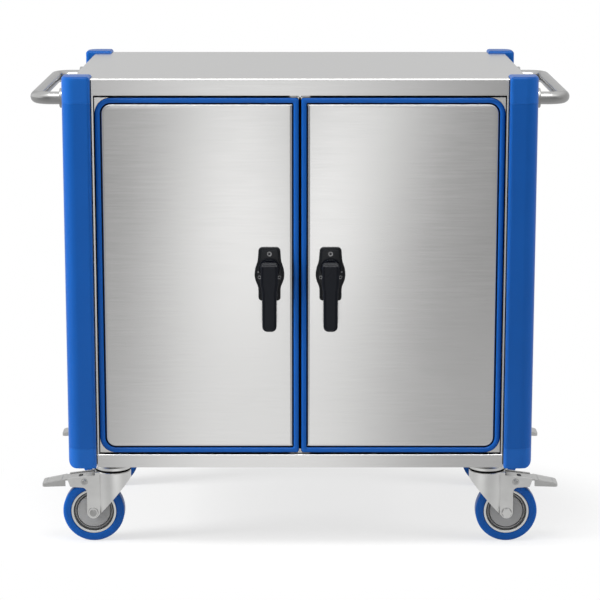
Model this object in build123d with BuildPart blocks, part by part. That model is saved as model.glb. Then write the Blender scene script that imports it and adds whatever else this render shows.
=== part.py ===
# Cleanroom material cart: a two-door steel cupboard on four braked swivel casters.
# Millimetres, +Z up, doors towards -Y, origin on the floor under the middle of the cart.

import os
from math import acos, atan2, cos, hypot, sin

from build123d import *

os.makedirs("parts", exist_ok=True)

# Overall sizes of the body
overall_width = 924
overall_depth = 600
overall_height = 956
base_bottom = 173
base_lip = 27
sheet = 1.5
overrun = 10

# Corner posts and bumpers
bumper_thickness = 21
bumper_leg = 56
bumper_corner_radius = 25
bumper_edge_radius = 6
bumper_wall = 3
bumper_lift = 3
post_size = 40
post_wall = 2

# Bumper end caps
cap_rise = 5
cap_joint = 0.2
cap_wall = 3
top_cap_height = 52
top_cap_round = 6
bottom_cap_height = 40
bottom_cap_round = 15
bottom_cap_solid = 20

# Worktop and the steps of the folded sheets in front of the posts
side_step = 2
front_lip = 33
side_lip = 25
fold_radius = 4
small_fold_radius = 2.5
notch_gap = 1

# Panels, rails and mullion
flange = 15
panel_setback = 0.5
header_depth = 38
rail_wall = 2
mullion_width = 40
mullion_depth = 20
mullion_gap = 1.5

# Shelf
shelf_height = 545
shelf_lip = 25
shelf_front = 195
shelf_side_gap = 3
shelf_rear_gap = 4
angle_leg = 25
angle_wall = 2

# Doors
door_side_gap = 2.2
door_meeting_gap = 4
door_top_gap = 4
door_bottom_gap = 3.5
header_gap = 3.5
door_sheet = 1
door_setback = 3
pan_depth = 21
pan_return = 30
frame_inset = 0.5
frame_width = 10
frame_height = 5
frame_round = 4
frame_corner_radius = 31
frame_meeting_radius = 5
groove = 2.5
skin_sheet = 1.5
skin_round = 2.5
skin_meeting_radius = 3

# Door pivots
pivot_inset = 8.5
pivot_depth = 4
pivot_radius = 3
pivot_clearance = 0.05
pivot_block_width = 15
pivot_block_depth = 13
pivot_block_height = 12
pivot_bite = 13
bracket_thickness = 3
bracket_width = 22
bracket_depth = 16
pin_hole_clearance = 1

# Latches
latch_offset = 60
latch_height = 579
spindle_radius = 6
spindle_clearance = 0.05
spindle_hole_clearance = 3
plate_top = 41.5
plate_bottom = 65.2
plate_top_width = 42
plate_neck_width = 46
plate_waist_width = 58.6
plate_leg_width = 43.6
plate_neck_drop = 28
plate_waist_top = 46
plate_waist_bottom = 64
plate_leg_start = 79
plate_corner = 6
plate_blend = 12
plate_base = 4
plate_dome = 2.5
plate_rim = 4.5
plate_bevel = 1.5
collar_radius = 20.5
collar_height = 3
lever_gap = 0.5
lever_stand = 27
grip_thickness = 13
grip_step = 0.6
head_width = 34
head_top = 16.5
head_bottom = 35.4
head_slope = 4
head_lip = 5
head_corner_radius = 7
grip_width = 28
grip_bottom = 122.7
grip_tip_radius = 10
lever_round = 2.5
tongue_reach = 52
tongue_width = 20
tongue_thickness = 5
tongue_gap = 0.7
nut_radius = 9
nut_height = 5

# Push handles
handle_drop = 50
handle_setback = 87
handle_stand = 71
handle_tube = 25
handle_wall = 1.5
handle_bend = 32
socket_radius = 19.5
socket_stand = 10
socket_depth = 14
socket_round = 2
socket_clearance = 0.05

# Casters
wheel_diameter = 125
wheel_offset = 40
caster_side_inset = 82
caster_front_inset = 99
plate_length = 95
plate_width = 82
plate_thickness = 4
plate_radius = 8
race_radius = 36
race_top_radius = 31
race_step = 5
kingpin_radius = 8
kingpin_clearance = 0.3
kingpin_head_radius = 13
kingpin_head_height = 8
seal_thickness = 3
seal_overhang = 0.4
seal_width = 7
running_gap = 0.3
rail_width = 90
rail_setback = 62

# Caster fork, measured from the swivel axis and the floor
fork_top = 148.7
crown_thickness = 4
crown_radius = 36
crown_round = 3
fork_wall = 3
fork_half_width = 24.5
leg_radius = 12.5
leg_fillet = 10
cheek_bottom = 114.5
cheek_bottom_end = 116.5
cheek_top = 140.5
cheek_end_top = 133.5
cheek_reach = 92
cheek_bottom_reach = 86
cheek_corner = 2.5
shoulder_drop = 16

# Wheel, tyre and axle
tyre_width = 32
tyre_round = 4
rim_radius = 46
rim_lip = 4.7
rim_half_width = 15
hub_disc_radius = 34
hub_disc_half_width = 12.5
web_half_width = 7
hub_radius = 13
hub_gap = 0.3
axle_radius = 6
axle_clearance = 0.05
axle_head_radius = 9.4
axle_head_height = 4
axle_head_dish = 6.5
axle_dish_depth = 1
nut_flats = 17
axle_nut_height = 6

# Brake pedal
brake_pin_reach = 57.3
brake_pin_height = 127
brake_pin_radius = 3
brake_head_radius = 5.9
brake_head_height = 1.6
web_half = 19.5
web_inner_reach = 40
web_outer_reach = 90
web_inner_height = 138
web_outer_height = 131.5
pedal_plate = 3
pedal_start = 96
pedal_reach = 143
pedal_tip_height = 122
pedal_half = 22.5
pedal_corner = 7
pedal_flange_start = 14
pedal_flange_tip = 6
ear_bottom = 119.5
ear_start = 46
ear_end = 72
ear_wall = 2.5
slot_reach = 66
slot_length = 18
slot_width = 9
shoe_start = 74
shoe_end = 86
shoe_half = 12
shoe_gap = 4.9

# Levels and planes that follow from the sizes above
post_x = overall_width / 2 - bumper_thickness
post_y = overall_depth / 2 - bumper_thickness
post_inner_x = post_x - post_size
post_inner_y = post_y - post_size
worktop_height = overall_height - cap_rise
under_top = worktop_height - sheet
frame_top = worktop_height - fold_radius
base_top = base_bottom + base_lip
front_y = post_y + sheet
side_x = post_x + side_step
bumper_inner_x = overall_width / 2 - bumper_leg
bumper_inner_y = overall_depth / 2 - bumper_leg
bumper_bottom = base_bottom + bumper_lift
door_top = worktop_height - front_lip - door_top_gap
door_bottom = base_top + door_bottom_gap
door_outer_x = post_inner_x - door_side_gap
door_inner_x = door_meeting_gap / 2
pan_y = front_y - door_setback
header_bottom = door_top + header_gap
pivot_x = door_outer_x - pivot_inset
pivot_y = pan_y - pivot_depth
pan_back_y = pan_y - pan_depth
mullion_y = pan_back_y - mullion_gap
wheel_radius = wheel_diameter / 2
caster_x = overall_width / 2 - caster_side_inset
caster_y = overall_depth / 2 - caster_front_inset
rail_length = overall_depth - 2 * rail_setback
handle_height = overall_height - handle_drop
handle_spacing = overall_depth - 2 * handle_setback
handle_reach = overall_width / 2 + handle_stand
socket_reach = overall_width / 2 + socket_stand


def save(part, name):
    part.label = name
    export_step(part, f"parts/{name}.step")


# A piece built at the right is mirrored to the left
def save_pair(part, name):
    save(part, f"{name}_right")
    save(mirror(part, about=Plane.YZ), f"{name}_left")


# A piece built at the front right is mirrored to the other three corners
def four_corners(part):
    left = mirror(part, about=Plane.YZ)
    return {
        "front_right": part,
        "front_left": left,
        "rear_right": mirror(part, about=Plane.XZ),
        "rear_left": mirror(left, about=Plane.XZ),
    }


# Rectangle between two opposite corners, inside a sketch
def block(x0, y0, x1, y1, mode=Mode.ADD):
    with Locations(((x0 + x1) / 2, (y0 + y1) / 2)):
        Rectangle(abs(x1 - x0), abs(y1 - y0), mode=mode)


# Corner posts, square tube from the base tray to the fold of the worktop
with BuildPart() as post:
    with BuildSketch(Plane.XY.offset(base_top)):
        block(post_inner_x, -post_inner_y, post_x, -post_y)
        inner = (post_inner_x + post_wall, -post_inner_y - post_wall, post_x - post_wall, -post_y + post_wall)
        block(*inner, mode=Mode.SUBTRACT)
    extrude(amount=frame_top - base_top)
for corner, piece in four_corners(post.part).items():
    save(piece, f"corner_post_{corner}")


# Outline of a bumper: an angle round the outer faces of the post
top_seam = overall_height - top_cap_height
bottom_seam = bumper_bottom + bottom_cap_height
with BuildSketch() as bumper_angle:
    with BuildLine():
        outer_x, outer_y = overall_width / 2, -overall_depth / 2
        Polyline(
            (bumper_inner_x, outer_y), (outer_x, outer_y), (outer_x, -bumper_inner_y),
            (post_x, -bumper_inner_y), (post_x, -post_y), (bumper_inner_x, -post_y),
            close=True,
        )
    make_face()
    fillet(bumper_angle.vertices().sort_by_distance((outer_x, outer_y))[0], radius=bumper_corner_radius)
    for leg_end in ((bumper_inner_x, outer_y), (outer_x, -bumper_inner_y)):
        fillet(bumper_angle.vertices().sort_by_distance(leg_end)[0], radius=bumper_edge_radius)


# The same corner filled out to a square, for the ends of the caps
with BuildSketch() as bumper_square:
    block(bumper_inner_x, -bumper_inner_y, outer_x, outer_y)
    fillet(bumper_square.vertices().sort_by_distance((outer_x, outer_y))[0], radius=bumper_corner_radius)
    for leg_end in ((bumper_inner_x, outer_y), (outer_x, -bumper_inner_y)):
        fillet(bumper_square.vertices().sort_by_distance(leg_end)[0], radius=bumper_edge_radius)


# Bumpers, hollow profiles between their end caps
with BuildPart() as bumper:
    with BuildSketch(Plane.XY.offset(bottom_seam + cap_joint)):
        add(bumper_angle.sketch)
        offset(amount=-bumper_wall, mode=Mode.SUBTRACT)
    extrude(amount=top_seam - bottom_seam - 2 * cap_joint)
for corner, piece in four_corners(bumper.part).items():
    save(piece, f"bumper_{corner}")


# Top caps cover the post and fill the notch of the worktop
with BuildPart() as top_cap:
    with BuildSketch(Plane.XY.offset(top_seam)):
        add(bumper_angle.sketch)
    extrude(amount=top_cap_height)
    with BuildSketch(Plane.XY.offset(under_top)):
        add(bumper_square.sketch)
    extrude(amount=overall_height - under_top)
    fillet(top_cap.edges().group_by(Axis.Z)[-1], radius=top_cap_round)
    with BuildSketch(Plane.XY.offset(top_seam)):
        add(bumper_angle.sketch)
        offset(amount=-cap_wall)
    extrude(amount=top_cap_height - (overall_height - under_top) - cap_wall, mode=Mode.SUBTRACT)
save(Compound(children=list(four_corners(top_cap.part).values())), "bumper_top_caps")


# Bottom caps close the profile below, with a large round on both outer sides
with BuildPart() as bottom_cap:
    with BuildSketch(Plane.XY.offset(bumper_bottom)):
        add(bumper_angle.sketch)
    extrude(amount=bottom_cap_height)
    with BuildSketch(Plane.XY.offset(bumper_bottom)):
        add(bumper_square.sketch)
    extrude(amount=cap_wall)
    with BuildSketch(Plane.XZ.offset(overall_depth / 2 + overrun)) as side_round:
        block(bumper_inner_x - overrun, bumper_bottom, outer_x, bottom_seam)
        fillet(side_round.vertices().sort_by_distance((outer_x, 0, 0))[0], radius=bottom_cap_round)
    extrude(amount=-(bumper_leg + 2 * overrun), mode=Mode.INTERSECT)
    with BuildSketch(Plane.YZ.offset(bumper_inner_x - overrun)) as front_round:
        block(outer_y, bumper_bottom, -bumper_inner_y + overrun, bottom_seam)
        fillet(front_round.vertices().sort_by_distance((0, outer_y, 0))[0], radius=bottom_cap_round)
    extrude(amount=bumper_leg + 2 * overrun, mode=Mode.INTERSECT)
    with BuildSketch(Plane.XY.offset(bumper_bottom + bottom_cap_solid)):
        add(bumper_angle.sketch)
        offset(amount=-cap_wall)
    extrude(amount=bottom_cap_height, mode=Mode.SUBTRACT)
save(Compound(children=list(four_corners(bottom_cap.part).values())), "bumper_bottom_caps")


# Worktop, a folded tray turned upside down, notched for the corner caps
with BuildPart() as worktop:
    with BuildSketch(Plane.XY.offset(worktop_height - front_lip)):
        Rectangle(2 * side_x, 2 * front_y)
    extrude(amount=front_lip)
    fillet(worktop.edges().group_by(Axis.Z)[-1], radius=fold_radius)
    offset(amount=-sheet, openings=worktop.faces().sort_by(Axis.Z)[0])
    with BuildSketch(Plane.XY.offset(worktop_height - front_lip)):
        with GridLocations(2 * side_x, 2 * front_y, 2, 2):
            notch_x = 2 * (side_x - bumper_inner_x + notch_gap)
            notch_y = 2 * (front_y - bumper_inner_y + notch_gap)
            Rectangle(notch_x, notch_y)
    extrude(amount=front_lip, mode=Mode.SUBTRACT)
    with BuildSketch(Plane.XY.offset(worktop_height - front_lip)):
        with GridLocations(2 * side_x, 0, 2, 1):
            Rectangle(2 * fold_radius, 2 * bumper_inner_y)
    extrude(amount=front_lip - side_lip, mode=Mode.SUBTRACT)
save(worktop.part, "worktop")


# Base tray, with its lips cut away where the bumpers pass and holes for the pivot pins
with BuildPart() as base_pan:
    with BuildSketch(Plane.XY.offset(base_bottom)):
        Rectangle(2 * side_x, 2 * front_y)
    extrude(amount=base_lip)
    fillet(base_pan.edges().group_by(Axis.Z)[-1], radius=small_fold_radius)
    offset(amount=-sheet, openings=base_pan.faces().sort_by(Axis.Z)[0])
    with BuildSketch(Plane.XY.offset(base_bottom)):
        with GridLocations(2 * side_x, 2 * front_y, 2, 2):
            Rectangle(notch_x, notch_y)
    extrude(amount=base_lip - sheet, mode=Mode.SUBTRACT)
    with BuildSketch(Plane.XY.offset(base_bottom)):
        with GridLocations(2 * side_x, 2 * front_y, 2, 2):
            Rectangle(notch_x, 2 * sheet)
            Rectangle(2 * side_step, notch_y)
    extrude(amount=base_lip, mode=Mode.SUBTRACT)
    with BuildSketch(Plane.XY.offset(base_bottom)):
        with Locations((pivot_x, -pivot_y), (-pivot_x, -pivot_y)):
            Circle(pivot_radius + pin_hole_clearance)
    extrude(amount=base_lip, mode=Mode.SUBTRACT)
save(base_pan.part, "base_pan")


# Box rails under the base tray that carry the casters
with BuildPart() as caster_rails:
    rail_height = base_lip - sheet
    with BuildSketch(Plane.XZ.offset(rail_length / 2)):
        for side in (-1, 1):
            middle = side * caster_x
            block(middle - rail_width / 2, base_bottom, middle + rail_width / 2, base_bottom + rail_height)
            inner_half = rail_width / 2 - rail_wall
            low, high = base_bottom + rail_wall, base_bottom + rail_height - rail_wall
            block(middle - inner_half, low, middle + inner_half, high, mode=Mode.SUBTRACT)
    extrude(amount=-rail_length)
save(caster_rails.part, "caster_rails")


# Side panel, a folded sheet between the posts of one side
panel_x = side_x - sheet - panel_setback
with BuildPart() as side_panel:
    with BuildSketch(Plane.XY.offset(base_top)):
        block(panel_x - flange, -post_inner_y, panel_x, post_inner_y)
        block(panel_x - flange, -post_inner_y + sheet, panel_x - sheet, post_inner_y - sheet, mode=Mode.SUBTRACT)
    extrude(amount=frame_top - base_top)
save_pair(side_panel.part, "side_panel")


# Rear panel, a folded sheet between the rear posts
with BuildPart() as rear_panel:
    with BuildSketch(Plane.XY.offset(base_top)):
        block(-post_inner_x, post_y - flange, post_inner_x, post_y - panel_setback)
        inner = (-post_inner_x + sheet, post_y - flange, post_inner_x - sheet, post_y - panel_setback - sheet)
        block(*inner, mode=Mode.SUBTRACT)
    extrude(amount=frame_top - base_top)
save(rear_panel.part, "rear_panel")


# Header rail behind the front lip, bored for the upper pivot pins
header_y = front_y - sheet
with BuildPart() as header_rail:
    with BuildSketch(Plane.YZ.offset(-post_inner_x)) as header_section:
        block(-header_y, header_bottom, -header_y + header_depth, under_top)
        fillet(header_section.vertices(), radius=fold_radius)
        low, high = header_bottom + rail_wall, under_top - rail_wall
        block(-header_y + rail_wall, low, -header_y + header_depth - rail_wall, high, mode=Mode.SUBTRACT)
    extrude(amount=2 * post_inner_x)
    with BuildSketch(Plane.XY.offset(header_bottom)):
        with Locations((pivot_x, -pivot_y), (-pivot_x, -pivot_y)):
            Circle(pivot_radius + pin_hole_clearance)
    extrude(amount=rail_wall, mode=Mode.SUBTRACT)
save(header_rail.part, "header_rail")


# Mullion behind the meeting edges of the doors
with BuildPart() as mullion:
    with BuildSketch(Plane.XY.offset(base_top)):
        block(-mullion_width / 2, -mullion_y, mullion_width / 2, -mullion_y + mullion_depth)
        half, near, far = mullion_width / 2 - sheet, -mullion_y + sheet, -mullion_y + mullion_depth - sheet
        block(-half, near, half, far, mode=Mode.SUBTRACT)
    extrude(amount=header_bottom - base_top)
save(mullion.part, "center_mullion")


# Hinge brackets, bored plates above and below each door
with BuildPart() as hinge_brackets:
    for level in (base_top, header_bottom - bracket_thickness):
        with BuildSketch(Plane.XY.offset(level)):
            for side in (-1, 1):
                low, high = side * (post_inner_x - bracket_width), side * post_inner_x
                front, back = -pivot_y - pivot_depth, -pivot_y - pivot_depth + bracket_depth
                block(low, front, high, back)
            with Locations((pivot_x, -pivot_y), (-pivot_x, -pivot_y)):
                Circle(pivot_radius + pivot_clearance, mode=Mode.SUBTRACT)
        extrude(amount=bracket_thickness)
save(hinge_brackets.part, "hinge_brackets")


# Shelf, a folded tray turned upside down
shelf_half = panel_x - sheet - shelf_side_gap
shelf_back = post_inner_y - shelf_rear_gap
with BuildPart() as shelf:
    with BuildSketch(Plane.XY.offset(shelf_height - shelf_lip)):
        block(-shelf_half, -shelf_front, shelf_half, shelf_back)
    extrude(amount=shelf_lip)
    fillet(shelf.edges().group_by(Axis.Z)[-1], radius=small_fold_radius)
    offset(amount=-sheet, openings=shelf.faces().sort_by(Axis.Z)[0])
save(shelf.part, "shelf")


# Angle rails under the ends of the shelf
with BuildPart() as shelf_rails:
    with BuildSketch(Plane.XZ.offset(shelf_front)):
        for side in (-1, 1):
            wall_x, rail_top = panel_x - sheet, shelf_height - shelf_lip
            block(side * (wall_x - angle_leg), rail_top - angle_wall, side * wall_x, rail_top)
            block(side * (wall_x - angle_wall), rail_top - angle_leg, side * wall_x, rail_top)
    extrude(amount=-(shelf_front + shelf_back))
save(shelf_rails.part, "shelf_rails")


# Outline of a door at one inset from its pan, with round corners on the hinge side
def door_outline(sketch, inset, hinge_radius, meeting_radius):
    block(door_inner_x + inset, door_bottom + inset, door_outer_x - inset, door_top - inset)
    fillet(sketch.vertices().group_by(Axis.X)[-1], radius=hinge_radius)
    fillet(sketch.vertices().group_by(Axis.X)[0], radius=meeting_radius)


# Door pan, a folded box with a wide return round its open front
with BuildPart() as door_pan:
    with BuildSketch(Plane.XZ.offset(pan_back_y)):
        block(door_inner_x, door_bottom, door_outer_x, door_top)
    extrude(amount=pan_depth)
    with BuildSketch(Plane.XZ.offset(pan_back_y + door_sheet)):
        edge = door_sheet
        block(door_inner_x + edge, door_bottom + edge, door_outer_x - edge, door_top - edge)
    extrude(amount=pan_depth - 2 * door_sheet, mode=Mode.SUBTRACT)
    with BuildSketch(Plane.XZ.offset(pan_y - door_sheet)):
        edge = pan_return
        block(door_inner_x + edge, door_bottom + edge, door_outer_x - edge, door_top - edge)
    extrude(amount=door_sheet, mode=Mode.SUBTRACT)
    with BuildSketch(Plane.XY.offset(door_bottom)):
        with Locations((pivot_x, -pivot_y)):
            Circle(pivot_radius)
    extrude(amount=door_top - door_bottom, mode=Mode.SUBTRACT)
    with BuildSketch(Plane.XZ.offset(pan_back_y)):
        with Locations((latch_offset, latch_height)):
            Circle(spindle_radius + spindle_hole_clearance)
    extrude(amount=door_sheet, mode=Mode.SUBTRACT)
save_pair(door_pan.part, "door_pan")


# Blue edge frame round the face of the door
with BuildPart() as door_frame:
    with BuildSketch(Plane.XZ.offset(pan_y)) as frame_outer:
        door_outline(frame_outer, frame_inset, frame_corner_radius, frame_meeting_radius)
    extrude(amount=frame_height)
    with BuildSketch(Plane.XZ.offset(pan_y)) as frame_inner:
        inner_inset, inner_radius = frame_inset + frame_width, frame_corner_radius - frame_width
        door_outline(frame_inner, inner_inset, inner_radius, skin_meeting_radius)
    extrude(amount=frame_height, mode=Mode.SUBTRACT)
    face_edges = door_frame.faces().sort_by(Axis.Y)[0].edges()
    fillet(face_edges, radius=frame_round)
save_pair(door_frame.part, "door_frame")


# Raised steel skin of the door, a shallow folded tray
skin_inset = frame_inset + frame_width + groove
with BuildPart() as door_skin:
    with BuildSketch(Plane.XZ.offset(pan_y)) as skin_outer:
        skin_corner = frame_corner_radius - frame_width - groove
        door_outline(skin_outer, skin_inset, skin_corner, skin_meeting_radius)
    extrude(amount=door_setback)
    fillet(door_skin.faces().sort_by(Axis.Y)[0].edges(), radius=skin_round)
    with BuildSketch(Plane.XZ.offset(pan_y)) as skin_inner:
        inner_corner, meeting_corner = skin_corner - skin_sheet, skin_meeting_radius - skin_sheet
        door_outline(skin_inner, skin_inset + skin_sheet, inner_corner, meeting_corner)
    extrude(amount=door_setback - skin_sheet, mode=Mode.SUBTRACT)
    with BuildSketch(Plane.XZ.offset(pan_y)):
        with Locations((latch_offset, latch_height)):
            Circle(spindle_radius + spindle_hole_clearance)
    extrude(amount=door_setback, mode=Mode.SUBTRACT)
save_pair(door_skin.part, "door_skin")


# Pivot blocks in the corners of the pan, each with its pin
with BuildPart() as door_pivots:
    block_outer = door_outer_x - door_sheet
    block_front = -pan_y + door_sheet
    lower = door_bottom + door_sheet
    upper = door_top - door_sheet - pivot_block_height
    for level in (lower, upper):
        with BuildSketch(Plane.XY.offset(level)):
            block(block_outer - pivot_block_width, block_front, block_outer, block_front + pivot_block_depth)
        extrude(amount=pivot_block_height)
    for level in (lower - pivot_bite / 2, door_top - door_sheet):
        with BuildSketch(Plane.XY.offset(level)):
            with Locations((pivot_x, -pivot_y)):
                Circle(pivot_radius)
        extrude(amount=pivot_bite / 2)
save_pair(door_pivots.part, "door_pivots")


# Outline of the latch plate: narrow head, wide waist and two parallel legs
def plate_points(grow):
    levels = (0, plate_neck_drop, plate_waist_top, plate_waist_bottom, plate_leg_start, plate_top + plate_bottom)
    widths = (plate_top_width, plate_neck_width, plate_waist_width, plate_waist_width, plate_leg_width)
    widths = widths + (plate_leg_width,)
    top = latch_height + plate_top
    heights = [top - level for level in levels]
    heights[0], heights[-1] = heights[0] + grow, heights[-1] - grow
    right = [(latch_offset + width / 2 + grow, z) for width, z in zip(widths, heights)]
    return right + [(2 * latch_offset - x, z) for x, z in reversed(right)]


def round_plate(sketch):
    fillet(sketch.vertices().group_by(Axis.Y)[0], radius=plate_corner)
    fillet(sketch.vertices().group_by(Axis.Y)[-1], radius=plate_corner)
    for drop in (plate_waist_top, plate_waist_bottom):
        level = latch_height + plate_top - drop
        fillet([v for v in sketch.vertices() if abs(v.Y - level) < sheet], radius=plate_blend)


# Latch plate screwed to the skin, with a raised middle
latch_y = front_y + plate_base + plate_dome
with BuildPart() as latch_plate:
    with BuildSketch(Plane.XZ.offset(front_y)) as plate_foot:
        with BuildLine():
            Polyline(*plate_points(0), close=True)
        make_face()
        round_plate(plate_foot)
    extrude(amount=plate_base)
    chamfer(latch_plate.faces().sort_by(Axis.Y)[0].edges(), length=plate_bevel)
    with BuildSketch(Plane.XZ.offset(front_y)) as plate_island:
        with BuildLine():
            Polyline(*plate_points(-plate_rim), close=True)
        make_face()
        round_plate(plate_island)
    extrude(amount=plate_base + plate_dome)
    chamfer(latch_plate.faces().sort_by(Axis.Y)[0].edges(), length=plate_bevel)
    with BuildSketch(Plane.XZ.offset(front_y)):
        with Locations((latch_offset, latch_height)):
            Circle(spindle_radius + spindle_clearance)
    extrude(amount=plate_base + plate_dome, mode=Mode.SUBTRACT)
save_pair(latch_plate.part, "latch_plate")


# Lever: a head whose front slopes back to the plate, and a grip that hangs below it
lever_back = latch_y + lever_gap
lever_front = front_y + plate_base + lever_stand
with BuildPart() as latch_lever:
    with BuildSketch(Plane.XZ.offset(lever_back)) as head_face:
        head_low, head_high = latch_height - head_bottom, latch_height + head_top
        block(latch_offset - head_width / 2, head_low, latch_offset + head_width / 2, head_high)
        fillet(head_face.vertices().group_by(Axis.Y)[-1], radius=head_corner_radius)
    extrude(amount=lever_front - lever_back)
    with BuildSketch(Plane.YZ.offset(latch_offset - head_width)) as head_side:
        with BuildLine():
            Polyline(
                (-lever_back, head_high), (-lever_back - head_lip, head_high),
                (-lever_front, head_high - head_slope),
                (-lever_front, head_low), (-lever_back, head_low), close=True,
            )
        make_face()
        shoulder = head_side.vertices().sort_by_distance((-lever_front, head_high - head_slope))[0]
        fillet(shoulder, radius=head_slope)
    extrude(amount=2 * head_width, mode=Mode.INTERSECT)
    fillet(latch_lever.faces().sort_by(Axis.Y)[0].edges().filter_by(Axis.Z), radius=lever_round)
    grip_front = lever_front - grip_step
    with BuildSketch(Plane.XZ.offset(grip_front - grip_thickness)) as grip_face:
        grip_low = latch_height - grip_bottom
        block(latch_offset - grip_width / 2, grip_low, latch_offset + grip_width / 2, head_low)
        fillet(grip_face.vertices().group_by(Axis.Y)[0], radius=grip_tip_radius)
    extrude(amount=grip_thickness)
    grip_edges = latch_lever.edges().filter_by(lambda e: e.center().Z < head_low - sheet)
    for level in (-grip_front, -grip_front + grip_thickness):
        face_edges = grip_edges.filter_by(lambda e: abs(e.center().Y - level) < grip_step / 2)
        fillet(face_edges, radius=lever_round)
        grip_edges = latch_lever.edges().filter_by(lambda e: e.center().Z < head_low - sheet)
    with BuildSketch(Plane.XZ.offset(lever_back)):
        with Locations((latch_offset, latch_height)):
            Circle(collar_radius)
    extrude(amount=collar_height)
save_pair(latch_lever.part, "latch_lever")


# Spindle through the door with the tongue that reaches behind the mullion
tongue_y = mullion_y - mullion_depth - tongue_gap
with BuildPart() as latch_cam:
    with BuildSketch(Plane.XZ.offset(lever_back)):
        with Locations((latch_offset, latch_height)):
            Circle(spindle_radius)
    extrude(amount=-(lever_back - tongue_y + tongue_thickness))
    with BuildSketch(Plane.XZ.offset(tongue_y)) as tongue_face:
        end = tongue_width / 2
        block(latch_offset - tongue_reach, latch_height - end, latch_offset + end, latch_height + end)
        fillet(tongue_face.vertices(), radius=end - sheet)
    extrude(amount=-tongue_thickness)
    with BuildSketch(Plane.XZ.offset(tongue_y - tongue_thickness)):
        with Locations((latch_offset, latch_height)):
            RegularPolygon(radius=nut_radius, side_count=6)
    extrude(amount=-nut_height)
save_pair(latch_cam.part, "latch_cam")


# Handle sockets, turned bosses on the side panels
half_spacing = handle_spacing / 2
with BuildPart() as socket:
    with BuildSketch(Plane.YZ.offset(panel_x)):
        with Locations((-half_spacing, handle_height), (half_spacing, handle_height)):
            Circle(socket_radius)
    extrude(amount=socket_reach - panel_x)
    fillet(socket.faces().sort_by(Axis.X)[-2:].edges(), radius=socket_round)
    with BuildSketch(Plane.YZ.offset(socket_reach - socket_depth)):
        with Locations((-half_spacing, handle_height), (half_spacing, handle_height)):
            Circle(handle_tube / 2 + socket_clearance)
    extrude(amount=socket_depth, mode=Mode.SUBTRACT)
save(Compound(children=[socket.part, mirror(socket.part, about=Plane.YZ)]), "handle_sockets")


# Push handle, a bent tube with both ends in its sockets
handle_x = handle_reach - handle_tube / 2
handle_start = socket_reach - socket_depth
with BuildPart() as handle:
    with BuildLine(Plane.XY.offset(handle_height)) as handle_path:
        FilletPolyline(
            (handle_start, -half_spacing), (handle_x, -half_spacing),
            (handle_x, half_spacing), (handle_start, half_spacing), radius=handle_bend,
        )
    with BuildSketch(Plane.YZ.offset(handle_start)):
        with Locations((-half_spacing, handle_height)):
            Circle(handle_tube / 2)
            Circle(handle_tube / 2 - handle_wall, mode=Mode.SUBTRACT)
    sweep(path=handle_path.line)
save_pair(handle.part, "handle")


# Caster mounting plate with the upper race, kingpin and riveted head
race_bottom = fork_top + running_gap + seal_thickness
with BuildPart() as caster_plate:
    with BuildSketch(Plane.XY.offset(base_bottom - plate_thickness)):
        RectangleRounded(plate_length, plate_width, plate_radius)
    extrude(amount=plate_thickness)
    with BuildSketch(Plane.XZ):
        with BuildLine():
            plate_under = base_bottom - plate_thickness
            pin_low = fork_top - crown_thickness - kingpin_clearance
            head_low = pin_low - kingpin_head_height
            Polyline(
                (0, plate_under), (race_top_radius, plate_under), (race_radius, race_bottom + race_step),
                (race_radius, race_bottom), (kingpin_radius, race_bottom), (kingpin_radius, pin_low),
                (kingpin_head_radius, pin_low), (kingpin_head_radius - sheet, head_low), (0, head_low),
                close=True,
            )
        make_face()
    revolve(axis=Axis.Z)


# Rubber seal ring between the race and the fork
with BuildPart() as caster_seal:
    with BuildSketch(Plane.XY.offset(race_bottom - seal_thickness)):
        Circle(race_radius + seal_overhang)
        Circle(race_radius - seal_width, mode=Mode.SUBTRACT)
    extrude(amount=seal_thickness)


# Fork outline from above: a round crown and two flat legs, at one wall distance
def fork_plan(shrink, reach):
    Circle(crown_radius - shrink)
    block(-reach, -(fork_half_width - shrink), 0, fork_half_width - shrink)


# Lower end of the fork's slanted front edge, where it runs into the round of the leg
axle_to_shoulder = (crown_radius + wheel_offset, fork_top - shoulder_drop - wheel_radius)
turn = atan2(axle_to_shoulder[1], axle_to_shoulder[0]) - acos(leg_radius / hypot(*axle_to_shoulder))
leg_tangent = (-wheel_offset + leg_radius * cos(turn), wheel_radius + leg_radius * sin(turn))
leg_left = -wheel_offset - leg_radius


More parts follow.
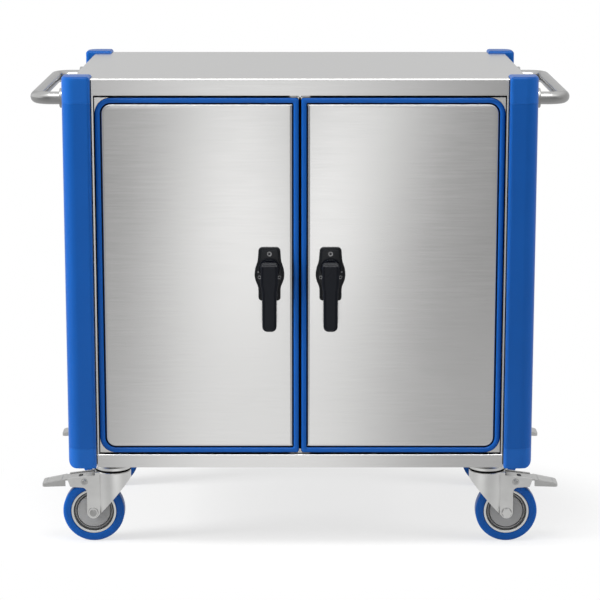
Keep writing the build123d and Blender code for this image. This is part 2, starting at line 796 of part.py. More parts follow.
# Fork: the side outline of leg, brake cheek and crown, cut to the outline from above
with BuildPart() as fork:
    with BuildSketch(Plane.XZ.offset(crown_radius)) as fork_side:
        with BuildLine():
            Polyline(
                (leg_left, wheel_radius), (leg_left, cheek_bottom), (-cheek_bottom_reach, cheek_bottom_end),
                (-cheek_reach, cheek_end_top), (-crown_radius, cheek_top), (-crown_radius, fork_top),
                (crown_radius, fork_top), (crown_radius, fork_top - shoulder_drop), leg_tangent,
                (-wheel_offset, wheel_radius), close=True,
            )
        make_face()
        inner_corner = fork_side.vertices().sort_by_distance((-wheel_offset - leg_radius, cheek_bottom))[0]
        fillet(inner_corner, radius=leg_fillet)
        outer_low = fork_side.vertices().sort_by_distance((-cheek_bottom_reach, cheek_bottom_end))[0]
        outer_high = fork_side.vertices().sort_by_distance((-cheek_reach, cheek_end_top))[0]
        fillet([outer_low, outer_high], radius=cheek_corner)
        with Locations((-wheel_offset, wheel_radius)):
            Circle(leg_radius)
    extrude(amount=-2 * crown_radius)
    with BuildSketch(Plane.XY):
        fork_plan(0, cheek_reach)
    extrude(amount=fork_top, mode=Mode.INTERSECT)
    fillet(fork.faces().sort_by(Axis.Z)[-1].edges(), radius=crown_round)
    with BuildSketch(Plane.XY):
        fork_plan(fork_wall, cheek_reach + overrun)
    extrude(amount=fork_top - crown_thickness, mode=Mode.SUBTRACT)
    with BuildSketch(Plane.XY.offset(fork_top - crown_thickness)):
        Circle(kingpin_radius + axle_clearance)
    extrude(amount=crown_thickness, mode=Mode.SUBTRACT)
    with BuildSketch(Plane.XZ.offset(crown_radius)):
        with Locations((-wheel_offset, wheel_radius)):
            Circle(axle_radius)
        with Locations((-brake_pin_reach, brake_pin_height)):
            Circle(brake_pin_radius)
    extrude(amount=-2 * crown_radius, mode=Mode.SUBTRACT)


# Wheel axle with a dished head and a nut, and the brake pivot pin
with BuildPart() as axle:
    with BuildSketch(Plane.XZ.offset(fork_half_width)):
        with Locations((-wheel_offset, wheel_radius)):
            Circle(axle_radius)
        with Locations((-brake_pin_reach, brake_pin_height)):
            Circle(brake_pin_radius)
    extrude(amount=-2 * fork_half_width)
    with BuildSketch(Plane.XZ.offset(fork_half_width)):
        with Locations((-wheel_offset, wheel_radius)):
            Circle(axle_head_radius)
    extrude(amount=axle_head_height)
    with BuildSketch(Plane.XZ.offset(fork_half_width + axle_head_height - axle_dish_depth)):
        with Locations((-wheel_offset, wheel_radius)):
            Circle(axle_head_dish)
    extrude(amount=axle_dish_depth, mode=Mode.SUBTRACT)
    for side in (Plane.XZ.offset(fork_half_width), Plane.XZ.offset(-fork_half_width - brake_head_height)):
        with BuildSketch(side):
            with Locations((-brake_pin_reach, brake_pin_height)):
                Circle(brake_head_radius)
        extrude(amount=brake_head_height)
    with BuildSketch(Plane.XZ.offset(-fork_half_width)):
        with Locations((-wheel_offset, wheel_radius)):
            RegularPolygon(radius=nut_flats / 2, side_count=6, major_radius=False)
    extrude(amount=-axle_nut_height)


# Wheel core, turned about the axle: hub, web, disc and rim
with BuildPart() as wheel:
    with BuildSketch(Plane.XY) as wheel_section:
        bore = axle_radius + axle_clearance
        hub_half = fork_half_width - fork_wall - hub_gap
        block(bore, -hub_half, hub_radius, hub_half)
        block(bore, -hub_disc_half_width, hub_disc_radius, hub_disc_half_width)
        block(hub_disc_radius, -web_half_width, rim_radius, web_half_width)
        block(rim_radius - rim_lip, -rim_half_width, rim_radius, rim_half_width)
    revolve(axis=Axis.Y)


# Tyre bonded on the rim
with BuildPart() as tyre:
    with BuildSketch(Plane.XY) as tyre_section:
        block(rim_radius, -tyre_width / 2, wheel_radius, tyre_width / 2)
        fillet(tyre_section.vertices().group_by(Axis.X)[-1], radius=tyre_round)
    revolve(axis=Axis.Y)


# Brake pedal: a pressed channel on its pivot pin, with a shoe over the tyre
with BuildPart() as pedal:
    with BuildSketch(Plane.XZ.offset(web_half)):
        with BuildLine():
            Polyline(
                (-web_inner_reach, web_inner_height), (-web_outer_reach, web_outer_height),
                (-pedal_start, web_outer_height), (-pedal_start, web_outer_height - pedal_plate),
                (-web_outer_reach, web_outer_height - pedal_plate),
                (-web_inner_reach, web_inner_height - pedal_plate), close=True,
            )
        make_face()
    extrude(amount=-2 * web_half)
    with BuildSketch(Plane.XZ.offset(pedal_half)):
        with BuildLine():
            Polyline(
                (-pedal_start, web_outer_height), (-pedal_reach, pedal_tip_height),
                (-pedal_reach, pedal_tip_height - pedal_flange_tip),
                (-pedal_start, web_outer_height - pedal_flange_start), close=True,
            )
        make_face()
    extrude(amount=-2 * pedal_half)
    fillet(pedal.edges().filter_by(Axis.Z).group_by(Axis.X)[0], radius=pedal_corner)
    with BuildSketch(Plane.XZ.offset(pedal_half - pedal_plate)):
        with BuildLine():
            Polyline(
                (-pedal_start, web_outer_height - pedal_plate),
                (-pedal_reach + pedal_plate, pedal_tip_height - pedal_plate),
                (-pedal_reach + pedal_plate, pedal_tip_height - 2 * pedal_flange_tip),
                (-pedal_start, web_outer_height - 2 * pedal_flange_start), close=True,
            )
        make_face()
    extrude(amount=-2 * (pedal_half - pedal_plate), mode=Mode.SUBTRACT)
    for inner_face in (web_half, -web_half + ear_wall):
        with BuildSketch(Plane.XZ.offset(inner_face)):
            with BuildLine():
                Polyline(
                    (-ear_start, web_inner_height - pedal_plate), (-ear_start - ear_wall, ear_bottom),
                    (-ear_end, ear_bottom), (-ear_end - ear_wall, web_outer_height),
                    close=True,
                )
            make_face()
        extrude(amount=-ear_wall)
    with BuildSketch(Plane.XZ.offset(shoe_half)):
        block(-shoe_end, wheel_radius, -shoe_start, web_outer_height)
        with Locations((-wheel_offset, wheel_radius)):
            Circle(wheel_radius + shoe_gap, mode=Mode.SUBTRACT)
    extrude(amount=-2 * shoe_half)
    with BuildSketch(Plane.XZ.offset(web_half)):
        with Locations((-brake_pin_reach, brake_pin_height)):
            Circle(brake_pin_radius + axle_clearance)
    extrude(amount=-2 * web_half, mode=Mode.SUBTRACT)
    with BuildSketch(Plane.XY.offset(web_outer_height - pedal_plate)):
        with Locations((-slot_reach, 0)):
            SlotOverall(slot_length, slot_width, rotation=90)
    extrude(amount=web_inner_height - web_outer_height + 2 * pedal_plate, mode=Mode.SUBTRACT)


# The four casters, wheels trailing towards the ends of the cart
caster_places = {
    "front_left": Location((-caster_x, -caster_y, 0)),
    "front_right": Location((caster_x, -caster_y, 0), (0, 0, 180)),
    "rear_left": Location((-caster_x, caster_y, 0)),
    "rear_right": Location((caster_x, caster_y, 0), (0, 0, 180)),
}
wheel_place = Location((-wheel_offset, 0, wheel_radius))
for corner, place in caster_places.items():
    save(place * fork.part, f"caster_fork_{corner}")
    save(place * axle.part, f"caster_axle_{corner}")
    save(place * wheel_place * wheel.part, f"caster_wheel_{corner}")
    save(place * wheel_place * tyre.part, f"caster_tyre_{corner}")
    save(place * pedal.part, f"brake_pedal_{corner}")
save(Compound(children=[place * caster_plate.part for place in caster_places.values()]), "caster_plates")
save(Compound(children=[place * caster_seal.part for place in caster_places.values()]), "caster_seals")
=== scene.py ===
import math

import bmesh
import bpy
from mathutils import Matrix, Vector


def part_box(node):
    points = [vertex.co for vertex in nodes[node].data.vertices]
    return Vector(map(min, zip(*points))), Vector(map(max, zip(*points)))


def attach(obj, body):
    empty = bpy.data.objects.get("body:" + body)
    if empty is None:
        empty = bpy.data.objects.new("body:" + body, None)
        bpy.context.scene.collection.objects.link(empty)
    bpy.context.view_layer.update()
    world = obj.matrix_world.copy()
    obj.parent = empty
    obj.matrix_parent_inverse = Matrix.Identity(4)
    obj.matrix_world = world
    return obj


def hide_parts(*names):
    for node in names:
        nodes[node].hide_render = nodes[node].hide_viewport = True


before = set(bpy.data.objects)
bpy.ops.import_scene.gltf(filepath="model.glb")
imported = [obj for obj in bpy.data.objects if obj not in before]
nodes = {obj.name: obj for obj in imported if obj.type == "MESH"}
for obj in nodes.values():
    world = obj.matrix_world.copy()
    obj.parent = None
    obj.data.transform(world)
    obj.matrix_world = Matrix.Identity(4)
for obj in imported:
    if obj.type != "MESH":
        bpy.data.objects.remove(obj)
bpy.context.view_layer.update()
sides = ("left", "right")
corners = ("front_left", "front_right", "rear_left", "rear_right")
print("frame loaded", len(nodes), "nodes")


def cornersOf(name):
    # lowest and highest corner of a frame node, in millimetres to a tenth
    return [[round(1000 * value, 1) for value in corner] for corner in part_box(name)]


def middleOf(name):
    low, high = cornersOf(name)
    return [(first + last) / 2 for first, last in zip(low, high)]


def toward(first, last, share):
    # from first to last by a share, for numbers and for wires
    return first + (last - first) * share


def varied(middle, *swings):
    # each swing is a noise, which runs from 0 to 1, and how much it changes the value
    return sum(((noise - 0.5) * amount for noise, amount in swings), middle)


class Wire:
    # a socket of a node; arithmetic on it adds Math nodes
    def __init__(self, graph, socket):
        self.graph, self.socket = graph, socket

    def __add__(self, other):
        return self.graph.maths("ADD", self, other)

    def __sub__(self, other):
        return self.graph.maths("SUBTRACT", self, other)

    def __rsub__(self, other):
        return self.graph.maths("SUBTRACT", other, self)

    def __mul__(self, other):
        return self.graph.maths("MULTIPLY", self, other)

    def __truediv__(self, other):
        return self.graph.maths("DIVIDE", self, other)

    def __rtruediv__(self, other):
        return self.graph.maths("DIVIDE", other, self)

    def __pow__(self, other):
        return self.graph.maths("POWER", self, other)

    def __abs__(self):
        return self.graph.maths("ABSOLUTE", self)

    __radd__ = __add__
    __rmul__ = __mul__


class Graph:
    # one node tree, a material's or the world's
    def __init__(self, tree):
        self.tree = tree
        tree.nodes.clear()

    def add(self, kind, settings=None, inputs=None, output=0):
        node = self.tree.nodes.new(kind)
        for key, value in (settings or {}).items():
            setattr(node, key, value)
        for key, value in (inputs or {}).items():
            if isinstance(value, Wire):
                self.tree.links.new(value.socket, node.inputs[key])
            else:
                node.inputs[key].default_value = value
        return Wire(self, node.outputs[output]) if len(node.outputs) else node

    def maths(self, operation, *values):
        return self.add("ShaderNodeMath", {"operation": operation}, dict(enumerate(values)))

    def spread(self, value, low, high, toLow=0.0, toHigh=1.0):
        # smooth step of a value from low to high
        inputs = {"Value": value, "From Min": low, "From Max": high, "To Min": toLow, "To Max": toHigh}
        return self.add("ShaderNodeMapRange", {"interpolation_type": "SMOOTHSTEP"}, inputs)

    def place(self):
        return self.add("ShaderNodeTexCoord", output="Object")

    def axes(self, vector=None):
        split = self.add("ShaderNodeSeparateXYZ", inputs={"Vector": vector or self.place()})
        return [Wire(self, socket) for socket in split.socket.node.outputs]

    def noise(self, stretch=(1, 1, 1), scale=1.0, detail=2.0, rough=0.5):
        vector = self.add("ShaderNodeMapping", inputs={"Vector": self.place(), "Scale": stretch})
        inputs = {"Vector": vector, "Scale": scale, "Detail": detail, "Roughness": rough}
        return self.add("ShaderNodeTexNoise", inputs=inputs)

    def tint(self, colour, amount):
        # a colour times a number
        return self.add("ShaderNodeVectorMath", {"operation": "SCALE"}, {0: colour, "Scale": amount})

    def bump(self, height, distance):
        return self.add("ShaderNodeBump", inputs={"Height": height, "Distance": distance})

    def rayIs(self, kind):
        # 1 where the ray is a camera or a glossy one
        return self.add("ShaderNodeLightPath", output=f"Is {kind} Ray")


def finish(name, shade):
    # shade(graph) gives the sockets of the surface shader
    material = bpy.data.materials.new(name)
    material.use_nodes = True
    graph = Graph(material.node_tree)
    surface = graph.add("ShaderNodeBsdfPrincipled", inputs=shade(graph))
    graph.add("ShaderNodeOutputMaterial", inputs={"Surface": surface})
    return material


def stretched(base, along, length):
    # scale of a pattern, with its own length along one axis
    scale = [base] * 3
    scale["xyz".index(along)] = length
    return scale


steel = {
    # the top tone is painted shade: a darker copy of the same steel for the worktop's top, for the dimmer
    # light that flat top gives back
    "tone": 0.62, "shadedTopTone": 0.545, "tintShares": (1.0, 0.995, 0.985),
    # scale of the grain across and along it, how much finer the scratches are, and scale of the clouds
    "across": 420.0, "along": 9.0, "scratchTimes": 2.6, "cloudScale": 3.2,
    # how much each one changes the tone and the roughness
    "grain": 0.10, "scratch": 0.05, "cloud": 0.10,
    "rough": 0.22, "roughGrain": 0.10, "roughCloud": 0.08, "bump": 0.000012,
}


def brushed(along, tone=steel["tone"]):
    # grain runs along one axis, clouds lie over it
    grainScale = stretched(steel["across"], along, steel["along"])
    scratchScale = [steel["scratchTimes"] * scale for scale in grainScale]

    def shade(g):
        grain = g.noise(grainScale, detail=3.0, rough=0.6)
        scratch = g.noise(scratchScale, detail=1.0)
        cloud = g.noise(scale=steel["cloudScale"], detail=5.0, rough=0.62)
        level = varied(1, (cloud, steel["cloud"]), (grain, steel["grain"]), (scratch, steel["scratch"]))
        return {
            "Base Color": g.tint([tone * share for share in steel["tintShares"]], level),
            "Metallic": 1.0,
            "Roughness": varied(steel["rough"], (grain, steel["roughGrain"]), (cloud, steel["roughCloud"])),
            "Normal": g.bump(grain, steel["bump"]),
        }
    return shade


plating = {
    "tintShares": (1.0, 1.0, 0.985), "cloudScale": 38.0, "speckScale": 420.0, "cloud": 0.20,
    "rough": 0.32, "roughCloud": 0.12, "roughSpeck": 0.04, "bump": 0.00002,
}


def plated(tone):
    # plated steel of the casters, a little uneven
    def shade(g):
        cloud = g.noise(scale=plating["cloudScale"], detail=3.0)
        speck = g.noise(scale=plating["speckScale"])
        level = varied(1, (cloud, plating["cloud"]))
        rough = varied(plating["rough"], (cloud, plating["roughCloud"]), (speck, plating["roughSpeck"]))
        return {
            "Base Color": g.tint([tone * share for share in plating["tintShares"]], level),
            "Metallic": 1.0,
            "Roughness": rough,
            "Normal": g.bump(speck, plating["bump"]),
        }
    return shade


satin = {
    "colour": (0.35, 0.35, 0.345), "cloudScale": 24.0, "grainScale": 300.0, "cloud": 0.10, "grain": 0.04,
    "rough": 0.24, "roughGrain": 0.08, "bump": 0.00001,
}


def shadedSatinTube(g):
    # ground steel of the handles, its tone far below the other steel as painted shade, so the tube's
    # highlights stay dim
    cloud = g.noise(scale=satin["cloudScale"], detail=3.0)
    grain = g.noise([satin["grainScale"]] * 3)
    return {
        "Base Color": g.tint(satin["colour"], varied(1, (cloud, satin["cloud"]), (grain, satin["grain"]))),
        "Metallic": 1.0,
        "Roughness": varied(satin["rough"], (grain, satin["roughGrain"])),
        "Normal": g.bump(grain, satin["bump"]),
    }


plastic = {"cloudScale": 9.0, "cloud": 0.12, "roughCloud": 0.08, "coatRough": 0.12, "drawn": 0.02}


def moulded(colour, rough, speckle, shine, coat=0.0, poreScale=520.0, poreDepth=0.00002, along=None):
    # plastic with fine pores, which a drawn profile has stretched along one axis
    stretch = stretched(1.0, along, plastic["drawn"]) if along else (1, 1, 1)

    def shade(g):
        cloud = g.noise(scale=plastic["cloudScale"], detail=4.0)
        pore = g.noise(stretch, poreScale)
        return {
            "Base Color": g.tint(colour, varied(1, (cloud, plastic["cloud"]), (pore, speckle))),
            "Roughness": varied(rough, (cloud, plastic["roughCloud"])),
            "Coat Weight": coat,
            "Coat Roughness": plastic["coatRough"],
            "Specular IOR Level": shine,
            "Normal": g.bump(pore, poreDepth),
        }
    return shade


# a plated steel has its tone, a plastic its colour, roughness, speckle and shine
shades = {
    "steelAcross": brushed("x"),
    "steelTopShaded": brushed("x", steel["shadedTopTone"]),
    "steelDeep": brushed("y"),
    "steelUpright": brushed("z"),
    "handleSteelShaded": shadedSatinTube,
    "zincSteel": plated(0.70),
    "rimSteel": plated(0.72),
    "pedalSteel": plated(0.52),
    "shadedHeadSteel": plated(0.40),
    "blueProfile": moulded((0.004, 0.068, 0.285), 0.30, 0.04, 0.14, poreScale=300.0, poreDepth=0.00001,
                           along="z"),
    "blueCap": moulded((0.006, 0.082, 0.33), 0.34, 0.05, 0.16),
    "blueRing": moulded((0.004, 0.072, 0.31), 0.20, 0.04, 0.12),
    "blueTyre": moulded((0.003, 0.072, 0.31), 0.34, 0.06, 0.14, poreScale=260.0),
    "greyWheel": moulded((0.27, 0.27, 0.27), 0.40, 0.06, 0.22),
    # painted shade: the wheel's grey plastic made dark for the recessed well
    "shadedWheelWell": moulded((0.085, 0.087, 0.09), 0.45, 0.1, 0.22),
    "blackLatch": moulded((0.005, 0.006, 0.008), 0.26, 0.25, 0.22, poreScale=640.0, poreDepth=0.00003),
    "blackLever": moulded((0.004, 0.005, 0.008), 0.28, 0.4, 0.14, poreScale=640.0, poreDepth=0.00005),
    "blackSeal": moulded((0.004, 0.004, 0.004), 0.70, 0.15, 0.05),
    "blackScrew": moulded((0.17, 0.17, 0.175), 0.25, 0.1, 0.7, coat=0.2),
    "gapShadowBlack": moulded((0.010, 0.010, 0.010), 0.60, 0.1, 0.05),
}
finishes = {name: finish(name, shade) for name, shade in shades.items()}
print("finishes made", len(finishes))


def dress(finishName, *names):
    for name in names:
        node = nodes[name]
        node.data.materials.clear()
        node.data.materials.append(finishes[finishName])


def each(stem, ends):
    return [f"{stem}_{end}" for end in ends]


# the worktop's top wears the darker steel tone, painted shade
dress("steelTopShaded", "worktop")
dress("steelAcross", "base_pan", "rear_panel", "header_rail", "shelf", "caster_rails",
      *each("door_pan", sides), *each("door_skin", sides))
dress("steelDeep", *each("side_panel", sides), "shelf_rails")
dress("steelUpright", "center_mullion", *each("corner_post", corners))
# the hinge brackets are black as painted shadow in the gap above the doors
dress("gapShadowBlack", "hinge_brackets")
dress("zincSteel", "caster_plates", *each("door_pivots", sides), *each("latch_cam", sides),
      *each("caster_fork", corners), *each("caster_axle", corners))
dress("pedalSteel", *each("brake_pedal", corners))
dress("handleSteelShaded", "handle_sockets", *each("handle", sides))
dress("blueProfile", *each("bumper", corners))
dress("blueCap", "bumper_top_caps", "bumper_bottom_caps")
dress("blueRing", *each("door_frame", sides))
dress("blueTyre", *each("caster_tyre", corners))
dress("greyWheel", *each("caster_wheel", corners))
dress("blackLatch", *each("latch_plate", sides), *each("latch_lever", sides))
dress("blackSeal", "caster_seals")
print("frame dressed")


# the pieces are shaped in millimetres and brought to metres at their end
shop = {"mergeWithin": 0.004, "sharpFrom": 32.0, "toMetres": 0.001}


def finishPiece(bm, name, finishName, body, stands=(), sharpFrom=shop["sharpFrom"]):
    bmesh.ops.remove_doubles(bm, verts=bm.verts, dist=shop["mergeWithin"])
    bmesh.ops.recalc_face_normals(bm, faces=bm.faces)
    bmesh.ops.scale(bm, vec=[shop["toMetres"]] * 3, verts=bm.verts)
    mesh = bpy.data.meshes.new(name)
    bm.to_mesh(mesh)
    bm.free()
    mesh.shade_smooth()
    mesh.set_sharp_from_angle(angle=math.radians(sharpFrom))
    mesh.materials.append(finishes[finishName])
    piece = bpy.data.objects.new(name, mesh)
    bpy.context.scene.collection.objects.link(piece)
    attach(piece, body)
    if stands:
        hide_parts(*stands)


def bothSides(make, name, finishName, bodyStem, standStem=""):
    # make(bm) shapes the right one, the left one is its mirror image
    for side in sides:
        bm = bmesh.new()
        make(bm)
        if side == "left":
            bmesh.ops.scale(bm, vec=(-1, 1, 1), verts=bm.verts)
        body = bodyStem if bodyStem == "carcass" else f"{bodyStem}_{side}"
        stands = [f"{standStem}_{side}"] if standStem else []
        finishPiece(bm, f"{name}_{side}", finishName, body, stands)


def allParts(bm):
    return list(bm.verts) + list(bm.edges) + list(bm.faces)


def vertsAmong(parts):
    return [part for part in parts if isinstance(part, bmesh.types.BMVert)]


def rectangle(left, low, right, high):
    return [(left, low), (right, low), (right, high), (left, high)]


def mirroredOutline(half, middleX, middleZ):
    # half holds the corners down the right side as half width, height and rounding
    right = [(middleX + wide, middleZ + up) for wide, up, rounding in half]
    left = [(2 * middleX - x, z) for x, z in reversed(right)]
    roundings = [rounding for wide, up, rounding in half]
    return right + left, roundings + roundings[::-1]


def outlineFace(bm, points, depth, roundings, segments):
    # flat face that looks to -Y, each corner rounded by its own length along the edges
    verts = [bm.verts.new((x, depth, z)) for x, z in points]
    bm.faces.new(verts)
    for vert, rounding in zip(verts, roundings):
        if rounding:
            bmesh.ops.bevel(bm, geom=[vert], offset=rounding, offset_type="OFFSET", affect="VERTICES",
                            segments=segments, profile=0.5, material=-1)
    bm.faces.ensure_lookup_table()
    face = bm.faces[-1]
    face.normal_update()
    if face.normal.y > 0:
        face.normal_flip()
    return face


def stepFace(bm, face, steps):
    # each step is an inset and a rise, and leaves a ring of faces round the face
    for inset, rise in steps:
        bmesh.ops.inset_region(bm, faces=[face], use_boundary=True, thickness=inset, depth=rise,
                               use_even_offset=True)


def closeHoles(bm):
    bmesh.ops.holes_fill(bm, edges=[edge for edge in bm.edges if edge.is_boundary], sides=0)


def roundedRise(inset, rise, count):
    # quarter round from a wall over to a flat face, as steps
    turns = [math.pi / 2 * n / count for n in range(count + 1)]
    return [(inset * (math.cos(a) - math.cos(b)), rise * (math.sin(b) - math.sin(a)))
            for a, b in zip(turns, turns[1:])]


def lathe(bm, profile, centre, steps, axis=(0, 1, 0)):
    # profile of (radius, along) points, spun about an upright or a front to back axis
    centre, axis = Vector(centre), Vector(axis)
    verts = [bm.verts.new(centre + Vector((radius, 0, 0)) + axis * along) for radius, along in profile]
    edges = [bm.edges.new(pair) for pair in zip(verts, verts[1:])]
    if profile[0][0] > 0 or profile[-1][0] > 0:  # ends that lie on the axis close by themselves
        edges.append(bm.edges.new((verts[-1], verts[0])))
    bmesh.ops.spin(bm, geom=verts + edges, cent=centre, axis=axis, dvec=(0, 0, 0), angle=2 * math.pi,
                   steps=steps, use_merge=True, use_duplicate=False)


def mirroredProfile(half):
    # half a section, given from the bore outwards at one face, and the same at the other face
    return list(half) + [(radius, -along) for radius, along in reversed(half)]


(doorInner, doorFront, doorLow), (doorOuter, _, doorHigh) = cornersOf("door_pan_right")
skin = {
    "inset": 13.0, "roundings": [5.5, 18.5, 18.5, 5.5], "segments": 8, "wall": 0.3,
    "fold": (2.4, 2.1), "foldSteps": 5, "crown": [(1.2, 0.4), (0.8, 0.15), (0.5, 0.05)],
}
beads = {
    "doorSeal": {"inset": 10.3, "width": 3.0, "rise": 1.0, "roundings": [4.0, 20.7, 20.7, 4.0]},
    "doorLip": {"inset": 0.0, "width": 1.6, "rise": 1.4, "roundings": [5.0, 31.5, 31.5, 5.0]},
}
beadSegments = 10


def doorOutline(inset):
    return rectangle(doorInner + inset, doorLow + inset, doorOuter - inset, doorHigh - inset)


def doorSkin(bm):
    # pressed skin: short wall, rolled fold, then a faint crown before the flat
    face = outlineFace(bm, doorOutline(skin["inset"]), doorFront, skin["roundings"], skin["segments"])
    fold = roundedRise(*skin["fold"], skin["foldSteps"])
    stepFace(bm, face, [(0.0, skin["wall"]), *fold, *skin["crown"]])
    closeHoles(bm)


def doorBead(bm, bead):
    # flat bead that runs round the door on its pan
    outline = doorOutline(bead["inset"])
    face = outlineFace(bm, outline, doorFront - bead["rise"], bead["roundings"], beadSegments)
    stepFace(bm, face, [(bead["width"], 0.0)])
    bmesh.ops.delete(bm, geom=[face], context="FACES_ONLY")
    grown = bmesh.ops.extrude_face_region(bm, geom=list(bm.faces))["geom"]
    bmesh.ops.translate(bm, vec=(0, bead["rise"], 0), verts=vertsAmong(grown))


def doorSeal(bm):
    # in the groove between the blue frame and the skin
    doorBead(bm, beads["doorSeal"])


def doorLip(bm):
    # outside the blue frame
    doorBead(bm, beads["doorLip"])


meeting = {
    "half": 10.0, "low": 205.0, "high": 912.0, "rounding": 0.8, "segments": 3,
    "steps": [(0.0, 0.5), (0.3, 0.35), (0.4, 0.15)],
}


def meetingSeal():
    # black rubber strip on the mullion, seen between the doors
    bm = bmesh.new()
    mullionFront = cornersOf("center_mullion")[0][1]
    strip = rectangle(-meeting["half"], meeting["low"], meeting["half"], meeting["high"])
    face = outlineFace(bm, strip, mullionFront, [meeting["rounding"]] * 4, meeting["segments"])
    stepFace(bm, face, meeting["steps"])
    closeHoles(bm)
    finishPiece(bm, "meetingSeal", "blackSeal", "carcass")


meetingSeal()
bothSides(doorSkin, "doorSkin", "steelAcross", "door", "door_skin")
bothSides(doorSeal, "doorSeal", "blackSeal", "door")
bothSides(doorLip, "doorLip", "blackSeal", "door")
print("doors made")


# the latch plate stands on the skin, and the spindle gives the height of plate and lever
latchX = middleOf("latch_plate_right")[0]
latchZ = middleOf("latch_cam_right")[2]
plateFront, plateFoot = (corner[1] for corner in cornersOf("latch_plate_right"))
latch = {
    # half width and height of each corner from the spindle, then its rounding
    "outline": [(21.0, 41.5, 7.5), (23.0, 13.5, 5.0), (29.3, -4.5, 8.8), (29.3, -22.5, 8.8),
                (21.8, -37.5, 7.0), (21.8, -65.2, 6.5)],
    "segments": 5,
    # wall, rounded edge, rim, groove and raised middle
    "steps": [(0.0, 2.6), (0.35, 0.75), (0.55, 0.45), (0.7, 0.2), (1.5, 0.0), (0.5, -0.5), (0.25, 0.0),
              (0.25, 2.0), (0.3, 0.6), (0.6, 0.3), (0.8, 0.1)],
}
# places from the spindle and radius of each, and profiles as shares of that radius and heights
screws = {
    "places": [(0.0, 28.6, 4.7), (19.3, -17.8, 3.6), (-19.3, -17.8, 3.6)], "turns": 24,
    "shares": [(0.0, 0.5), (0.42, 0.5), (0.5, -0.1), (0.78, -0.3), (0.86, -0.75), (0.96, -0.8),
               (1.0, -0.4), (1.0, 1.0), (0.0, 1.0)],
}
stud = {
    "places": [(21.6, -7.4, 1.4)], "turns": 16,
    "shares": [(0.0, -0.7), (0.6, -0.6), (1.0, -0.1), (1.0, 0.8), (0.0, 0.8)],
}


def latchPlate(bm):
    points, roundings = mirroredOutline(latch["outline"], latchX, latchZ)
    face = outlineFace(bm, points, plateFoot, roundings, latch["segments"])
    stepFace(bm, face, latch["steps"])
    closeHoles(bm)


def latchScrews(bm):
    # raised ring with a countersunk socket screw in each, and one small stud
    for kind in (screws, stud):
        for x, z, radius in kind["places"]:
            profile = [(radius * share, along) for share, along in kind["shares"]]
            lathe(bm, profile, (latchX + x, plateFront, latchZ + z), kind["turns"])


lever = {
    # half width and height of each corner from the spindle, then its rounding
    "outline": [(16.5, 14.5, 6.5), (17.0, -31.0, 5.0), (14.2, -42.0, 5.0), (14.0, -122.7, 10.0)],
    "segments": 6, "off": 12.0, "wall": 9.9, "edge": (2.6, 2.4), "edgeSteps": 4,
    "field": [(1.2, 0.2), (0.5, -0.5), (0.5, 0.0), (0.5, 0.5)],
    # the brow slopes back above this height
    "brow": 7.5, "browSlope": 0.8, "browClear": 0.1,
    "hub": [(0.0, -4.4), (17.2, -4.4), (17.8, -3.8), (18.2, -2.6), (19.2, -2.6), (19.8, -3.2),
            (20.3, -3.0), (20.5, -2.4), (20.5, 0.3), (0.0, 0.3)],
    "hubTurns": 56,
}
neck = {
    "half": 13.5, "low": -33.0, "high": 10.0, "roundings": [0.0, 0.0, 5.0, 5.0], "segments": 5, "off": 1.1,
    "overlap": 1.0,
}


def latchLever(bm):
    # hub collar, neck and the shell of head and grip, whose brow slopes back to the hub
    shellBack = plateFront - lever["off"]
    points, roundings = mirroredOutline(lever["outline"], latchX, latchZ)
    face = outlineFace(bm, points, shellBack, roundings, lever["segments"])
    edge = roundedRise(*lever["edge"], lever["edgeSteps"])
    stepFace(bm, face, [(0.0, lever["wall"]), *edge, *lever["field"]])
    browZ = latchZ + lever["brow"]
    bmesh.ops.bisect_plane(bm, geom=allParts(bm), dist=0.001, plane_co=(0, 0, browZ), plane_no=(0, 0, 1))
    for vert in bm.verts:
        if vert.co.z > browZ and vert.co.y < shellBack - lever["browClear"]:
            vert.co.y += (vert.co.z - browZ) * lever["browSlope"]
    neckBack = plateFront - neck["off"]
    half = neck["half"]
    outline = rectangle(latchX - half, latchZ + neck["low"], latchX + half, latchZ + neck["high"])
    face = outlineFace(bm, outline, neckBack, neck["roundings"], neck["segments"])
    stepFace(bm, face, [(0.0, neckBack - shellBack + neck["overlap"])])
    closeHoles(bm)
    lathe(bm, lever["hub"], (latchX, plateFront, latchZ), lever["hubTurns"])


bothSides(latchPlate, "latchPlate", "blackLatch", "door", "latch_plate")
bothSides(latchLever, "latchLever", "blackLever", "latch", "latch_lever")
bothSides(latchScrews, "latchScrews", "blackScrew", "door")
print("latches made")


tube = {"radius": 12.5, "bend": 32.0, "segments": 40, "bendSteps": 14}


def ringEdges(verts):
    # edges with both ends in the ring, each once and in a steady order
    inside = set(verts)
    near = dict.fromkeys(edge for vert in verts for edge in vert.link_edges)
    return [edge for edge in near if all(vert in inside for vert in edge.verts)]


def pullRing(bm, ring, move):
    grown = bmesh.ops.extrude_edge_only(bm, edges=ringEdges(ring))["geom"]
    ring = vertsAmong(grown)
    bmesh.ops.translate(bm, vec=move, verts=ring)
    return ring


def turnRing(bm, ring, centre):
    # a quarter turn about an upright line
    swept = bmesh.ops.spin(bm, geom=list(ring) + ringEdges(ring), cent=centre, axis=(0, 0, 1),
                           dvec=(0, 0, 0), angle=math.pi / 2, steps=tube["bendSteps"], use_merge=False,
                           use_duplicate=False)
    return vertsAmong(swept["geom_last"])


